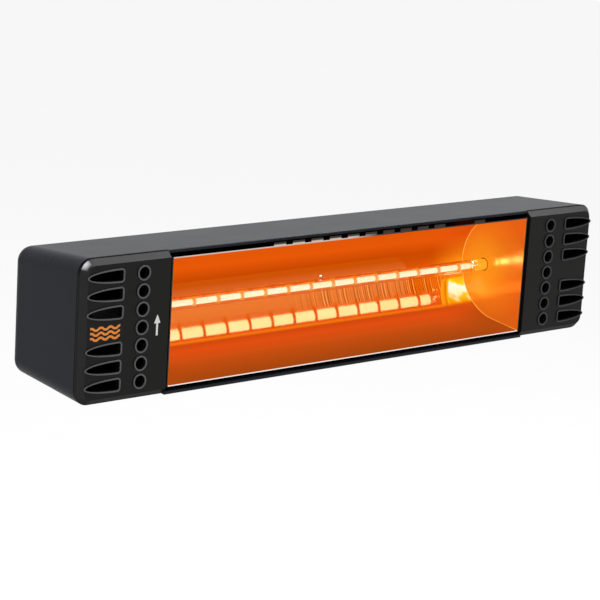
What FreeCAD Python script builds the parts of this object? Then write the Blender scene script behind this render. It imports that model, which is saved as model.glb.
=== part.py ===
import FreeCAD
import Part
import math
import os

Vector = FreeCAD.Vector

# Infrared heater on a tilting wall bracket. Millimetres.
# X runs along the heater, +Y points to the wall, +Z is up.
# The origin is the centre of the bracket's face on the wall.

# Body, measured from the front face of the end covers
body_length = 465.0
body_height = 95.5
body_depth = 77.5
top_drop = 6.2
bottom_rise = 5.7
corner_radius = 10.0
front_bevel = 4.5
back_radius = 7.3
housing_wall = 2.2
top_lip_depth = 4.0
bottom_lip_depth = 0.5
lip_radius = 1.0
wall_gap = 50.0

# End covers with their vents
cover_length = 68.2
cover_wall = 3.0
seam_depth = 5.5
seam_gap = 0.5
vent_rows = 3
vent_pitch = 11.8
hole_radius = 4.0
hole_inset = 46.8
slot_tip_inset = 4.6
slot_length = 26.1
slot_half_width = 3.6
slot_corner = 1.4
collar_wall = 1.0
collar_height = 0.8
tongue_width = 12.0
tongue_reach = 16.0
tongue_thickness = 4.0
tongue_gap = 0.2
tongue_skin = 0.5
tongue_shares = (0.2, 0.68)

# Reflector
reflector_sheet = 0.8
rim_depth = 1.5
rim_gap = 2.7
reflector_flare = 2.7
reflector_back_gap = 11.1
focus_share = 0.44
comb_teeth = 10
comb_pitch = 16.3
comb_tooth = 10.5
tooth_root_share = 0.25
comb_height = 2.2
hook_place = 113.0
tab_setback = 4.5
tab_width = 9.0
tab_reach = 3.0

# End plates of the reflector
plate_sheet = 1.0
plate_side_gap = 2.0
plate_edge_gap = 2.4
plate_chamfer = 9.0
plate_foot = 14.0
plate_foot_height = 52.0
plate_screw_spacing = 40.0
cap_hole_gap = 0.6

# Lamp
tube_radius = 4.5
tube_wall = 1.0
tube_shoulder = 2.0
seal_width = 6.4
seal_thickness = 2.4
seal_length = 10.0
cap_radius = 4.2
cap_reach = 15.2
cap_length = 23.5
cap_recess = 1.5
cap_recess_radius = 2.6
contact_radius = 1.2
contact_head = 1.0
filament_radius = 2.0
filament_core = 0.45
filament_end = 3.0
support_count = 14
filament_end_share = 0.6
support_gap = 1.7
support_thickness = 0.6
tip_radius = 1.5
tip_height = 2.4

# Lampholders and their sprung contacts
holder_gap = 3.5
holder_length = 20.0
holder_half = 9.5
holder_wall = 2.0
holder_bore = 4.7
plunger_tip = 2.2
plunger_flange = 4.2
plunger_flange_length = 1.5
plunger_clear = 1.0
plunger_tail = 1.5
plunger_end = 2.5
contact_gap = 0.1
spring_wire = 0.45
spring_radius = 3.3
spring_turns = 6
spring_steps = 4
tab_sheet = 0.8
tab_half = 3.0
tab_inset = 6.0
barrel_radius = 2.0
barrel_length = 7.0
bracket_sheet = 1.5
bracket_half = 6.5
bracket_front = 10.0
bracket_foot = 12.0
holder_screw_spacing = 14.0
holder_screw_reach = 10.0
foot_screw_spacing = 7.0

# Wiring
lead_radius = 1.3
lead_back = 8.0
lead_entry = 6.0
bend_share = 0.45
block_end_gap = 6.3
block_length = 36.0
block_height = 16.0
block_depth = 17.0
block_floor_gap = 5.0
pole_pitch = 11.0
pole_radius = 3.0
pole_bore = 1.7
pole_screw_spacing = 9.0
clip_place = 80.0
clip_width = 6.0
clip_wall = 2.2
grommet_flange = 1.2
grommet_wall = 1.6
tag_height = 22.0
tag_sheet = 0.8
tag_radius = 4.5
tag_barrel = 9.0

# Cable gland in the right end
gland_back_gap = 30.3
gland_floor_gap = 11.2
gland_thread = 8.0
gland_bore = 5.0
gland_flats = 22.0
gland_flange = 5.5
gland_neck = 9.0
gland_locknut = 5.0
gland_cap_length = 16.0
gland_cap_lip = 3.0
gland_cap_radius = 10.6
gland_seal_length = 5.0
gland_seal_bore = 3.5

# Wall bracket, yoke and tilt lock
plate_thickness = 3.0
bend_radius = 2.0
bracket_half_width = 80.0
bracket_half_height = 27.0
wall_hole_radius = 3.25
wall_hole_spacing_x = 100.0
wall_hole_spacing_z = 40.0
pivot_share = 0.5
slot_radius = 18.0
slot_gap = 0.3
ear_margin = 5.0
ear_round = 19.0
tilt_up = 10.0
tilt_down = 40.0
washer_thickness = 1.0
washer_radius = 8.0
yoke_sheet = 3.0
yoke_half_height = 24.0
yoke_ear_back = 11.0
yoke_ear_low = 14.0
yoke_ear_top = 8.0
yoke_ear_round = 7.0
yoke_screw_spacing_x = 100.0
yoke_screw_spacing_z = 36.0
bolt_radius = 3.0
bolt_flats = 10.0
bolt_head = 4.0
nut_height = 5.0
bolt_end = 4.0
face_gap = 0.1
knob_radius = 11.0
knob_length = 15.0
knob_lobes = 6
knob_groove = 3.2
knob_groove_out = 1.0
knob_round = 1.5
knob_washer_thickness = 1.4
knob_washer_radius = 7.0

# Screws by thread radius, with heads in proportion
screw_small = 1.5
screw_medium = 2.0
screw_large = 2.5
screw_head_share = 1.8
screw_head_height_share = 1.25
screw_drive_share = 1.3
screw_socket_share = 0.6
edge_share = 0.3
nut_flats_share = 3.4
nut_height_share = 1.6

# Clearances
fit = 0.05
end_gap = 1.0
overrun = 1.0

# Derived places
front_y = -(wall_gap + body_depth)
body_half = body_length / 2
window_half = body_half - cover_length
back_depth = body_depth - housing_wall
back_y = -wall_gap
inner_end = body_half - housing_wall
rim_half = body_height / 2 - top_drop * rim_depth / body_depth - housing_wall - reflector_sheet - rim_gap
trough_radius = rim_half - reflector_flare
trough_depth = back_depth - reflector_back_gap - reflector_sheet - trough_radius
lamp_depth = trough_depth + focus_share * trough_radius
lamp_y = front_y + lamp_depth
plate_x = window_half - plate_side_gap - plate_sheet
tab_depth = seam_depth + tab_setback + tab_width / 2 + end_gap
plate_out = plate_x + plate_sheet
lamp_half = plate_out + cap_reach
cap_start = lamp_half - cap_length
seal_end = cap_start + seal_length / 2
tube_half = seal_end - seal_length
bore_radius = tube_radius - tube_wall
filament_half = tube_half - filament_end
support_pitch = 2 * filament_half / (support_count - 1 + 2 * filament_end_share)
tip_x = lamp_half - cap_recess + contact_gap
holder_x = lamp_half + holder_gap
holder_end = holder_x + holder_length
flange_x = holder_x + holder_wall + plunger_clear
spring_start = flange_x + plunger_flange_length
spring_end = holder_end - holder_wall
bracket_end = holder_end + bracket_sheet
lead_depth = back_depth - lead_back
lead_y = front_y + lead_depth
block_x = inner_end - block_end_gap - block_length / 2
pole_x = (block_x - pole_pitch, block_x, block_x + pole_pitch)
barrel_x = pole_x[1]
tab_end = barrel_x + barrel_radius
tab_height = -holder_half + tab_sheet / 2
gland_depth = back_depth - gland_back_gap
gland_y = front_y + gland_depth
pivot_y = -wall_gap * (1 - pivot_share)
stud_rest_angle = math.radians((tilt_down + tilt_up) / 2 - tilt_up)
stud_y = pivot_y + slot_radius * math.sin(stud_rest_angle)
stud_z = slot_radius * math.cos(stud_rest_angle)
bracket_inner = bracket_half_width - plate_thickness
yoke_half_width = bracket_inner - washer_thickness
yoke_inner = yoke_half_width - yoke_sheet
bottom_slope = math.atan2(bottom_rise, body_depth)
along_x = Vector(1, 0, 0)
along_y = Vector(0, 1, 0)
along_z = Vector(0, 0, 1)
centre = Vector(0, 0, 0)


def y_at(depth):
    return front_y + depth


def top_at(depth):
    return body_height / 2 - top_drop * depth / body_depth


def bottom_at(depth):
    return -body_height / 2 + bottom_rise * depth / body_depth


def block_middle():
    return bottom_at(back_depth) + housing_wall + block_floor_gap + block_height / 2


def gland_z():
    return bottom_at(gland_depth) + housing_wall + gland_floor_gap + gland_flats / 2


# Plain solids


def box(x_low, x_high, y_low, y_high, z_low, z_high):
    return Part.makeBox(x_high - x_low, y_high - y_low, z_high - z_low, Vector(x_low, y_low, z_low))


def rod(start, direction, radius, length):
    return Part.makeCylinder(radius, length, start, direction)


def ring(start, direction, outer, inner, length):
    return rod(start, direction, outer, length).cut(rod(start, direction, inner, length))


def hexagon(start, direction, flats, length):
    across = along_z if abs(direction.z) < abs(direction.x) + abs(direction.y) else along_x
    side = direction.cross(across)
    side.normalize()
    other = direction.cross(side)
    reach = flats / math.sqrt(3)
    points = []
    for step in range(7):
        angle = math.radians(60 * step)
        points.append(start + side * (reach * math.cos(angle)) + other * (reach * math.sin(angle)))
    return Part.Face(Part.makePolygon(points)).extrude(direction * length)


def prism(points, x_low, x_high):
    loop = [Vector(x_low, y, z) for y, z in points + points[:1]]
    return Part.Face(Part.makePolygon(loop)).extrude(Vector(x_high - x_low, 0, 0))


def joined(shapes):
    return shapes[0].multiFuse(shapes[1:]).removeSplitter()


def mirrored(shape):
    return shape.mirror(centre, along_x)


def group(shapes):
    return Part.makeCompound(shapes)


def both_ends(shapes):
    return group([mirrored(shape) for shape in shapes] + shapes)


def screw(seat, direction, thread, length):
    head_height = thread * screw_head_height_share
    top = seat - direction * head_height
    head = rod(top, direction, thread * screw_head_share, head_height)
    rounded = head.makeFillet(head_height * edge_share, [edge_near(head, top)])
    socket = hexagon(top, direction, thread * screw_drive_share, head_height * screw_socket_share)
    return joined([rounded, rod(seat, direction, thread, length)]).cut(socket)


def edge_near(shape, point):
    circles = [edge for edge in shape.Edges if hasattr(edge.Curve, "Center")]
    return min(circles, key=lambda edge: edge.Curve.Center.distanceToPoint(point))


def nut(start, direction, thread, height):
    body = hexagon(start, direction, thread * nut_flats_share, height)
    return body.cut(rod(start, direction, thread + fit, height))


# Body shell


def outline(inset, depth):
    y = y_at(depth)
    right = body_half - inset
    top = top_at(depth) - inset
    bottom = bottom_at(depth) + inset
    radius = corner_radius - inset
    diagonal = radius * math.sqrt(0.5)
    edges = []
    corners = (
        (right - radius, top - radius, 1, 1),
        (-right + radius, top - radius, -1, 1),
        (-right + radius, bottom + radius, -1, -1),
        (right - radius, bottom + radius, 1, -1),
    )
    ends = []
    for x, z, side, up in corners:
        flat = Vector(x, y, z + up * radius)
        upright = Vector(x + side * radius, y, z)
        middle = Vector(x + side * diagonal, y, z + up * diagonal)
        pair = (upright, flat) if side == up else (flat, upright)
        edges.append(Part.Arc(pair[0], middle, pair[1]).toShape())
        ends.append(pair)
    lines = []
    for index in range(4):
        lines.append(Part.LineSegment(ends[index][1], ends[(index + 1) % 4][0]).toShape())
    loop = [edge for both in zip(edges, lines) for edge in both]
    return Part.Wire(loop)


def flat_edges(shape, depth):
    y = y_at(depth)
    return [edge for edge in shape.Edges if all(abs(v.Y - y) < fit / 10 for v in edge.Vertexes)]


def envelope(inset, depth_front, depth_back, bevel, back_round):
    shell = Part.makeLoft([outline(inset, depth_front), outline(inset, depth_back)], True, True)
    if bevel > 0:
        shell = shell.makeChamfer(bevel, flat_edges(shell, depth_front))
    if back_round > 0:
        shell = shell.makeFillet(back_round, flat_edges(shell, depth_back))
    return shell


def front_slab(x_low, x_high, depth):
    return box(x_low, x_high, front_y - overrun, y_at(depth), -body_height, body_height)


def cover_screw_places():
    depth = seam_depth + tongue_reach / 2
    places = []
    for share in tongue_shares:
        places.append(Vector(window_half + share * cover_length, y_at(depth), bottom_at(depth)))
    return places


def inward_from_bottom():
    return Vector(0, -math.sin(bottom_slope), math.cos(bottom_slope))


def plate_screw_places():
    x = plate_out + plate_foot / 2
    return [Vector(x, back_y, side * plate_screw_spacing / 2) for side in (-1, 1)]


def foot_screw_places():
    x = bracket_end + bracket_foot / 2
    return [Vector(x, back_y, side * foot_screw_spacing / 2) for side in (-1, 1)]


def block_screw_places():
    return [Vector(block_x + side * pole_pitch / 2, back_y, block_middle()) for side in (-1, 1)]


def yoke_screw_places():
    places = []
    for side in (-1, 1):
        for up in (-1, 1):
            places.append(Vector(side * yoke_screw_spacing_x / 2, back_y, up * yoke_screw_spacing_z / 2))
    return places


def earth_place():
    return Vector(pole_x[2], back_y, tag_height)


def make_housing():
    outer = envelope(0, 0, body_depth, 0, back_radius)
    hollow = envelope(housing_wall, 0, back_depth, 0, back_radius - housing_wall)
    shell = outer.cut(hollow)
    shell = shell.cut(front_slab(-window_half, window_half, bottom_lip_depth))
    shell = shell.cut(front_slab(-window_half, window_half, top_lip_depth).common(upper_half()))
    for low, high in ((-body_length, -window_half), (window_half, body_length)):
        shell = shell.cut(front_slab(low, high, seam_depth + seam_gap))
    lips = lip_edges(shell, top_lip_depth, top_at) + lip_edges(shell, bottom_lip_depth, bottom_at)
    shell = shell.makeFillet(lip_radius, lips)
    reach = housing_wall + overrun
    holes = []
    for place in cover_screw_places():
        start = place - inward_from_bottom() * overrun
        hole = rod(start, inward_from_bottom(), screw_medium + fit, reach + overrun)
        holes += [hole, mirrored(hole)]
    for place in plate_screw_places():
        hole = rod(place + along_y * overrun, -along_y, screw_medium + fit, reach + overrun)
        holes += [hole, mirrored(hole)]
    for place in foot_screw_places():
        hole = rod(place + along_y * overrun, -along_y, screw_small + fit, reach + overrun)
        holes += [hole, mirrored(hole)]
    for place in block_screw_places():
        holes.append(rod(place + along_y * overrun, -along_y, screw_small + fit, reach + overrun))
    for place in yoke_screw_places():
        holes.append(rod(place + along_y * overrun, -along_y, screw_large + fit, reach + overrun))
    holes.append(rod(earth_place() + along_y * overrun, -along_y, screw_medium + fit, reach + overrun))
    gland_start = Vector(inner_end - overrun, gland_y, gland_z())
    holes.append(rod(gland_start, along_x, gland_thread + fit, reach + overrun))
    return shell.cut(group(holes))


def upper_half():
    return box(-body_length, body_length, front_y - body_depth, 0, 0, body_height)


def lip_edges(shell, depth, height_at):
    return [e for e in flat_edges(shell, depth) if abs(e.CenterOfMass.z - height_at(depth)) < fit]


# End covers


def slot_outline(row, grow, depth):
    tip = body_half - slot_tip_inset + grow
    inner = body_half - slot_tip_inset - slot_length - grow
    half = slot_half_width + grow
    corner = slot_corner + grow
    y = y_at(depth)
    z = row * vent_pitch
    start = inner + corner
    bevel = corner * (1 - math.sqrt(0.5))

    def point(x, rise):
        return Vector(x, y, z + rise)

    nose = Part.Ellipse(point(tip, 0), point(start, half), point(start, 0))
    edges = [
        Part.ArcOfEllipse(nose, -math.pi / 2, math.pi / 2),
        Part.Arc(point(start, half), point(inner + bevel, half - bevel), point(inner, half - corner)),
        Part.LineSegment(point(inner, half - corner), point(inner, corner - half)),
        Part.Arc(point(inner, corner - half), point(inner + bevel, bevel - half), point(start, -half)),
    ]
    return Part.Face(Part.Wire(Part.__sortEdges__([edge.toShape() for edge in edges])))


def slot_block(row, grow, depth_front, depth_back):
    return slot_outline(row, grow, depth_front).extrude(along_y * (depth_back - depth_front))


def hole_block(row, grow, depth_front, depth_back):
    start = Vector(body_half - hole_inset, y_at(depth_front), row * vent_pitch)
    return rod(start, along_y, hole_radius + grow, depth_back - depth_front)


def vents(grow, depth_front, depth_back):
    solids = []
    for row in range(-vent_rows, vent_rows + 1):
        solids.append(hole_block(row, grow, depth_front, depth_back))
        if row != 0:
            solids.append(slot_block(row, grow, depth_front, depth_back))
    return solids


def tongue(place, edge_at, up):
    wall = housing_wall + tongue_gap
    end = seam_depth + tongue_reach
    start = front_bevel - wall + tongue_skin
    points = [
        (y_at(start), edge_at(start) + up * wall),
        (y_at(end), edge_at(end) + up * wall),
        (y_at(end), edge_at(end) + up * (wall + tongue_thickness)),
        (y_at(start), edge_at(start) + up * (wall + tongue_thickness)),
    ]
    return prism(points, place.x - tongue_width / 2, place.x + tongue_width / 2)


def make_right_cover():
    end_zone = box(window_half, body_length, front_y - overrun, 0, -body_height, body_height)
    inner_zone = box(window_half + cover_wall, body_length, front_y, 0, -body_height, body_height)
    outer = envelope(0, 0, seam_depth, front_bevel, 0).common(end_zone)
    hollow = envelope(cover_wall, cover_wall, seam_depth + overrun, front_bevel - cover_wall, 0)
    shell = outer.cut(hollow.common(inner_zone))
    additions = vents(collar_wall, -collar_height, cover_wall / 2)
    for place in cover_screw_places():
        additions += [tongue(place, bottom_at, 1), tongue(place, top_at, -1)]
    shell = joined([shell] + additions)
    openings = vents(0, -collar_height - overrun, cover_wall + overrun)
    for place in cover_screw_places():
        openings.append(rod(place, inward_from_bottom(), screw_medium + fit, tongue_reach))
    return shell.cut(group(openings))


def make_cover_screws():
    length = housing_wall + tongue_gap + tongue_thickness
    return both_ends([screw(p, inward_from_bottom(), screw_medium, length) for p in cover_screw_places()])


# Reflector


def trough_outline(grow_in, grow_out, x):
    distance = math.hypot(trough_depth - rim_depth, rim_half)
    lean = math.atan2(rim_half, rim_depth - trough_depth) - math.acos(trough_radius / distance)
    normal = (math.cos(lean), math.sin(lean))

    def edge_points(grow, up):
        rim = (rim_depth + grow * normal[0], up * (rim_half + grow * normal[1]))
        radius = trough_radius + grow
        turn = (trough_depth + radius * normal[0], up * radius * normal[1])
        return [Vector(x, y_at(depth), z) for depth, z in (rim, turn)]

    def bottom_of_arc(grow):
        return Vector(x, y_at(trough_depth + trough_radius + grow), 0)

    rim_in, turn_in = edge_points(-grow_in, 1)
    low_rim_in, low_turn_in = edge_points(-grow_in, -1)
    rim_out, turn_out = edge_points(grow_out, 1)
    low_rim_out, low_turn_out = edge_points(grow_out, -1)
    edges = [
        Part.LineSegment(rim_in, turn_in),
        Part.Arc(turn_in, bottom_of_arc(-grow_in), low_turn_in),
        Part.LineSegment(low_turn_in, low_rim_in),
        Part.LineSegment(low_rim_in, low_rim_out),
        Part.LineSegment(low_rim_out, low_turn_out),
        Part.Arc(low_turn_out, bottom_of_arc(grow_out), turn_out),
        Part.LineSegment(turn_out, rim_out),
        Part.LineSegment(rim_out, rim_in),
    ]
    return Part.Face(Part.Wire([edge.toShape() for edge in edges]))


def trough(grow_in, grow_out, half_length):
    return trough_outline(grow_in, grow_out, -half_length).extrude(along_x * (2 * half_length))


def tab_zones(grow):
    half = tab_width / 2 + grow
    reach = plate_out + tab_reach + overrun
    zones = [box(-reach, reach, y_at(trough_depth), 0, -half, half)]
    for low, high in ((0, body_height), (-body_height, 0)):
        zones.append(box(-reach, reach, y_at(tab_depth) - half, y_at(tab_depth) + half, low, high))
    return zones


def make_reflector():
    pieces = [trough(0, reflector_sheet, plate_x)]
    long_trough = trough(0, reflector_sheet, plate_out + tab_reach)
    for zone in tab_zones(0):
        pieces.append(long_trough.common(zone))
    places = [(index - (comb_teeth - 1) / 2) * comb_pitch for index in range(comb_teeth)]
    for place in places + [hook_place]:
        low = place - comb_tooth / 2
        high = place + comb_tooth / 2
        top = rim_half + reflector_sheet + comb_height
        tooth_back = y_at(rim_depth) + reflector_sheet
        bottom = rim_half + reflector_sheet * tooth_root_share
        pieces.append(box(low, high, y_at(rim_depth), tooth_back, bottom, top))
    return joined(pieces)


def make_right_end_plate():
    chamfer_depth = back_depth - plate_chamfer
    inset = housing_wall + plate_edge_gap
    back_face = y_at(back_depth)
    points = [
        (y_at(rim_depth), bottom_at(rim_depth) + inset),
        (y_at(chamfer_depth), bottom_at(chamfer_depth) + inset),
        (back_face, bottom_at(chamfer_depth) + inset + plate_chamfer),
        (back_face, top_at(chamfer_depth) - inset - plate_chamfer),
        (y_at(chamfer_depth), top_at(chamfer_depth) - inset),
        (y_at(rim_depth), top_at(rim_depth) - inset),
    ]
    wall = prism(points, plate_x, plate_out)
    half = plate_foot_height / 2
    foot = box(plate_x, plate_out + plate_foot, back_face - plate_sheet, back_face, -half, half)
    plate = joined([wall, foot])
    cuts = [rod(Vector(plate_x - overrun, lamp_y, 0), along_x, cap_radius + cap_hole_gap, plate_foot)]
    lead_hole = Vector(plate_x - overrun, lead_y, tab_height)
    cuts.append(rod(lead_hole, along_x, lead_radius + grommet_wall, plate_foot))
    slots = trough(fit, reflector_sheet + fit, plate_out + overrun)
    cuts += [slots.common(zone) for zone in tab_zones(fit)]
    for place in plate_screw_places():
        cuts.append(rod(place, -along_y, screw_medium + fit, housing_wall + plate_sheet + overrun))
    return plate.cut(group(cuts))


def make_end_plate_screws():
    length = housing_wall + plate_sheet + end_gap
    return both_ends([screw(p, -along_y, screw_medium, length) for p in plate_screw_places()])


# Lamp


def lamp_point(x):
    return Vector(x, lamp_y, 0)


def support_places():
    return [(index - (support_count - 1) / 2) * support_pitch for index in range(support_count)]


def make_lamp_tube():
    body = rod(lamp_point(-tube_half), along_x, tube_radius, 2 * tube_half)
    body = body.makeFillet(tube_shoulder, [edge_near(body, lamp_point(side * tube_half)) for side in (-1, 1)])
    seal = box(
        tube_half - tube_shoulder, seal_end,
        lamp_y - seal_thickness / 2, lamp_y + seal_thickness / 2,
        -seal_width / 2, seal_width / 2,
    )
    tip = Part.makeCone(tip_radius, tip_radius / 2, tip_height + tube_wall / 2,
                        lamp_point(0) + along_z * (tube_radius - tube_wall / 2), along_z)
    hollow_half = tube_half - tube_wall - tube_shoulder / 2
    hollow = rod(lamp_point(-hollow_half), along_x, bore_radius, 2 * hollow_half)
    wire_way = rod(lamp_point(-seal_end), along_x, filament_core + fit, 2 * seal_end)
    return joined([body, seal, mirrored(seal), tip]).cut(group([hollow, wire_way]))


def make_lamp_filament():
    pieces = [rod(lamp_point(-seal_end), along_x, filament_core, 2 * seal_end)]
    stops = [-filament_half] + support_places() + [filament_half]
    for low, high in zip(stops[:-1], stops[1:]):
        start = low + support_gap / 2
        pieces.append(rod(lamp_point(start), along_x, filament_radius, high - low - support_gap))
    return joined(pieces)


def make_filament_supports():
    rings = []
    for place in support_places():
        start = lamp_point(place - support_thickness / 2)
        rings.append(ring(start, along_x, bore_radius - fit, filament_core + fit, support_thickness))
    return group(rings)


def make_lamp_end_caps():
    cap = rod(lamp_point(cap_start), along_x, cap_radius, cap_length)
    cap = cap.makeFillet(cap_radius * edge_share / 2, [edge_near(cap, lamp_point(lamp_half))])
    pocket = box(
        cap_start, seal_end,
        lamp_y - seal_thickness / 2 - fit, lamp_y + seal_thickness / 2 + fit,
        -seal_width / 2 - fit, seal_width / 2 + fit,
    )
    bore = rod(lamp_point(seal_end), along_x, contact_radius + fit, cap_length)
    head_start = lamp_half - cap_recess - contact_head
    recess = rod(lamp_point(head_start), along_x, cap_recess_radius, cap_length)
    return both_ends([cap.cut(group([pocket, bore, recess]))])


def make_lamp_contacts():
    head_start = lamp_half - cap_recess - contact_head
    pin = rod(lamp_point(seal_end), along_x, contact_radius, head_start - seal_end)
    head = rod(lamp_point(head_start), along_x, cap_recess_radius - fit, contact_head)
    return both_ends([joined([pin, head])])


# Lampholders


def holder_screw_places():
    return [Vector(bracket_end, lamp_y + side * holder_screw_spacing / 2, 0) for side in (-1, 1)]


def make_right_lampholder():
    body = box(holder_x, holder_end, lamp_y - holder_half, lamp_y + holder_half, -holder_half, holder_half)
    uprights = [edge for edge in body.Edges if abs(edge.Length - holder_length) < fit]
    body = body.makeFillet(holder_wall / 2, uprights)
    cuts = [
        rod(lamp_point(holder_x), along_x, plunger_tip + fit, holder_wall),
        rod(lamp_point(holder_x + holder_wall), along_x, holder_bore, holder_length - 2 * holder_wall),
        rod(lamp_point(spring_end), along_x, plunger_tail + fit, holder_wall),
        tab_plate(fit),
    ]
    for place in holder_screw_places():
        cuts.append(rod(place, -along_x, screw_small + fit, holder_screw_reach + bracket_sheet))
    return body.cut(group(cuts))


def make_right_contact_plunger():
    tip = rod(lamp_point(tip_x), along_x, plunger_tip, flange_x - tip_x)
    tip = tip.makeFillet(plunger_tip * edge_share, [edge_near(tip, lamp_point(tip_x))])
    flange = rod(lamp_point(flange_x), along_x, plunger_flange, plunger_flange_length)
    tail = rod(lamp_point(spring_start), along_x, plunger_tail, bracket_end + plunger_end - spring_start)
    return joined([tip, flange, tail])


def biarc(start, start_way, end, end_way):
    gap = end - start
    both = start_way + end_way
    spread = 1 - start_way.dot(end_way)
    reach = gap.dot(both)
    handle = (math.sqrt(reach * reach + 2 * spread * gap.dot(gap)) - reach) / (2 * spread)
    first = start + start_way * handle
    last = end - end_way * handle
    join = (first + last) * 0.5
    arcs = []
    for low, corner, high in ((start, first, join), (join, last, end)):
        middle = (low + high) * 0.5
        lean = low.distanceToPoint(high) / (2 * handle)
        arcs.append(Part.Arc(low, middle + (corner - middle) * (lean / (1 + lean)), high).toShape())
    return arcs


def make_right_contact_spring():
    length = spring_end - spring_start
    pitch = length / spring_turns

    def place(turn):
        angle = 2 * math.pi * turn
        across = along_y * math.cos(angle) + along_z * math.sin(angle)
        return lamp_point(spring_start + pitch * turn) + across * spring_radius

    def way(turn):
        angle = 2 * math.pi * turn
        across = along_z * math.cos(angle) - along_y * math.sin(angle)
        tangent = across * (2 * math.pi * spring_radius) + along_x * pitch
        return tangent.normalize()

    edges = []
    for step in range(spring_turns * spring_steps):
        low = step / spring_steps
        high = (step + 1) / spring_steps
        edges += biarc(place(low), way(low), place(high), way(high))
    path = Part.Wire(edges)
    section = Part.Wire(Part.makeCircle(spring_wire, place(0), way(0)))
    coil = path.makePipeShell([section], True, False)
    near = lamp_y - holder_half
    far = lamp_y + holder_half
    between = box(spring_start, spring_end, near, far, -holder_half, holder_half)
    print("spring gap between turns", round(pitch - 2 * spring_wire, 3))
    return coil.common(between)


def tab_plate(grow):
    return box(
        holder_x + tab_inset - grow, tab_end,
        lamp_y - tab_half - grow, lamp_y + tab_half + grow,
        -holder_half - grow, -holder_half + tab_sheet + grow,
    )


def barrel_start():
    return Vector(barrel_x, lamp_y + tab_half - end_gap, tab_height)


def make_holder_tabs():
    barrel = rod(barrel_start(), along_y, barrel_radius, barrel_length)
    bore = rod(barrel_start(), along_y, lead_radius + fit, barrel_length)
    return both_ends([joined([tab_plate(0), barrel]).cut(bore)])


def make_right_holder_bracket():
    back_face = y_at(back_depth)
    upright = box(holder_end, bracket_end, lamp_y - bracket_front, back_face, -bracket_half, bracket_half)
    foot = box(holder_end, bracket_end + bracket_foot, back_face - bracket_sheet, back_face,
               -bracket_half, bracket_half)
    cuts = [rod(lamp_point(holder_end), along_x, plunger_tail + plunger_clear, bracket_sheet)]
    for place in holder_screw_places():
        cuts.append(rod(place, -along_x, screw_small + fit, bracket_sheet))
    for place in foot_screw_places():
        cuts.append(rod(place, -along_y, screw_small + fit, housing_wall + bracket_sheet))
    return joined([upright, foot]).cut(group(cuts))


def make_holder_screws():
    length = bracket_sheet + holder_screw_reach - end_gap
    return both_ends([screw(place, -along_x, screw_small, length) for place in holder_screw_places()])


def make_holder_bracket_screws():
    length = housing_wall + bracket_sheet + end_gap
    return both_ends([screw(place, -along_y, screw_small, length) for place in foot_screw_places()])


# Wiring


def lead(points, name):
    edges = []
    start = points[0]
    for before, corner, after in zip(points, points[1:], points[2:]):
        back = before - corner
        ahead = after - corner
        run = min(back.Length, ahead.Length)
        back.normalize()
        ahead.normalize()
        half_turn = (math.pi - back.getAngle(ahead)) / 2
        radius = bend_share * run / math.tan(half_turn)
        cut = bend_share * run
        first = corner + back * cut
        last = corner + ahead * cut
        inward = (back + ahead).normalize()
        middle = corner + inward * (radius / math.cos(half_turn) - radius)
        edges.append(Part.LineSegment(start, first).toShape())
        edges.append(Part.Arc(first, middle, last).toShape())
        start = last
        print(name, "bend radius", round(radius, 1))
    edges.append(Part.LineSegment(start, points[-1]).toShape())
    path = Part.Wire(edges)
    section = Part.Wire(Part.makeCircle(lead_radius, points[0], points[1] - points[0]))
    wire = path.makePipeShell([section], True, False)
    swept = math.pi * lead_radius ** 2 * path.Length
    print(name, "volume", round(wire.Volume / swept, 4), "of section times length")
    return wire


def block_bottom():
    return block_middle() - block_height / 2


def pole_entry(index):
    return Vector(pole_x[index], lead_y, block_bottom() + block_height - lead_entry)


def barrel_entry(side):
    return Vector(side * barrel_x, barrel_start().y + end_gap, tab_height)


def lead_corner(x):
    return Vector(x, lead_y, tab_height)


def make_left_lead():
    corners = [lead_corner(pole_x[0]), lead_corner(-barrel_x)]
    return lead([pole_entry(0)] + corners + [barrel_entry(-1)], "left_lead")


def make_right_lead():
    return lead([pole_entry(1), lead_corner(barrel_x), barrel_entry(1)], "right_lead")


def make_earth_lead():
    tag_entry = Vector(pole_x[2], lead_y, tag_height - tag_radius - tag_barrel / 2)
    return lead([pole_entry(2), tag_entry], "earth_lead")


def make_lead_clips():
    front = lead_y - lead_radius - clip_wall / 2
    half = lead_radius + clip_wall
    clips = []
    for place in (-clip_place, clip_place):
        low = place - clip_width / 2
        high = place + clip_width / 2
        block = box(low, high, front, y_at(back_depth), tab_height - half, tab_height + half)
        clips.append(block.cut(rod(lead_corner(low), along_x, lead_radius + fit, clip_width)))
    return group(clips)


def make_lead_grommets():
    outer = lead_radius + grommet_wall
    start = Vector(plate_x - grommet_flange, lead_y, tab_height)
    body = rod(start, along_x, outer - fit, plate_sheet + 2 * grommet_flange)
    flanges = []
    for x in (start.x, plate_out):
        flange_radius = outer + grommet_flange / 2
        flanges.append(rod(Vector(x, lead_y, tab_height), along_x, flange_radius, grommet_flange))
    bore = rod(start, along_x, lead_radius + fit, plate_sheet + 2 * grommet_flange)
    return both_ends([joined([body] + flanges).cut(bore)])


def pole_screw_places():
    front = y_at(back_depth) - block_depth
    places = []
    for x in pole_x:
        for side in (-1, 1):
            places.append(Vector(x, front, block_middle() + side * pole_screw_spacing / 2))
    return places


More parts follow.
